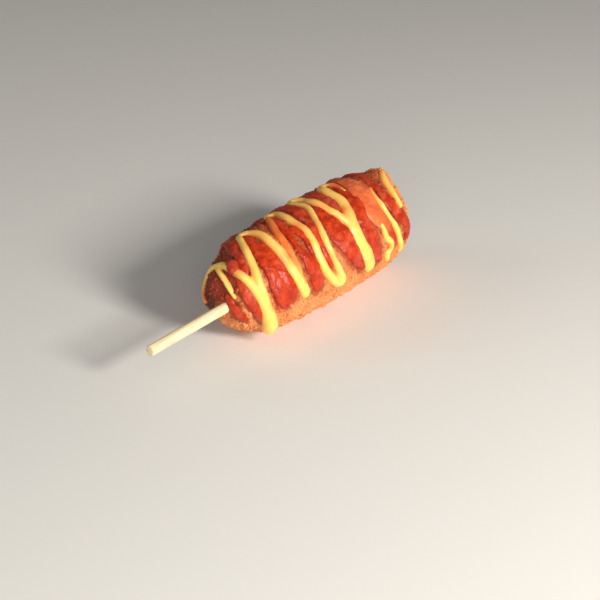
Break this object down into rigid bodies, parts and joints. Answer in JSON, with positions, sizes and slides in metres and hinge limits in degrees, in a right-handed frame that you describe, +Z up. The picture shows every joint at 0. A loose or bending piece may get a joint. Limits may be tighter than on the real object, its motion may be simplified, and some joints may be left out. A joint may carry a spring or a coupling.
{
  "type": "corn dog",
  "caption": "Fried corn dog with a crumbed crust on a round wooden stick, lying on its side under a zigzag of ketchup and mustard.",
  "frame": {"origin": "middle of the small flat on the underside, under the middle of the fried body", "axes": "+X along the stick and the body, away from the stick; -Y the side where the sauce hangs lowest; +Z up"},
  "size_m": [0.1811, 0.052, 0.0509],
  "materials": {
    "crust": "matte fried crumb",
    "stick": "plain unvarnished",
    "ketchup": "wet gloss",
    "mustard": "soft gloss"
  },
  "bodies": {
    "root": {"crust": "crust", "stick": "stick", "ketchup_zigzag": "ketchup", "ketchup_near_blob": "ketchup", "ketchup_far_band": "ketchup", "mustard_zigzag": "mustard"}
  },
  "joints": []
}
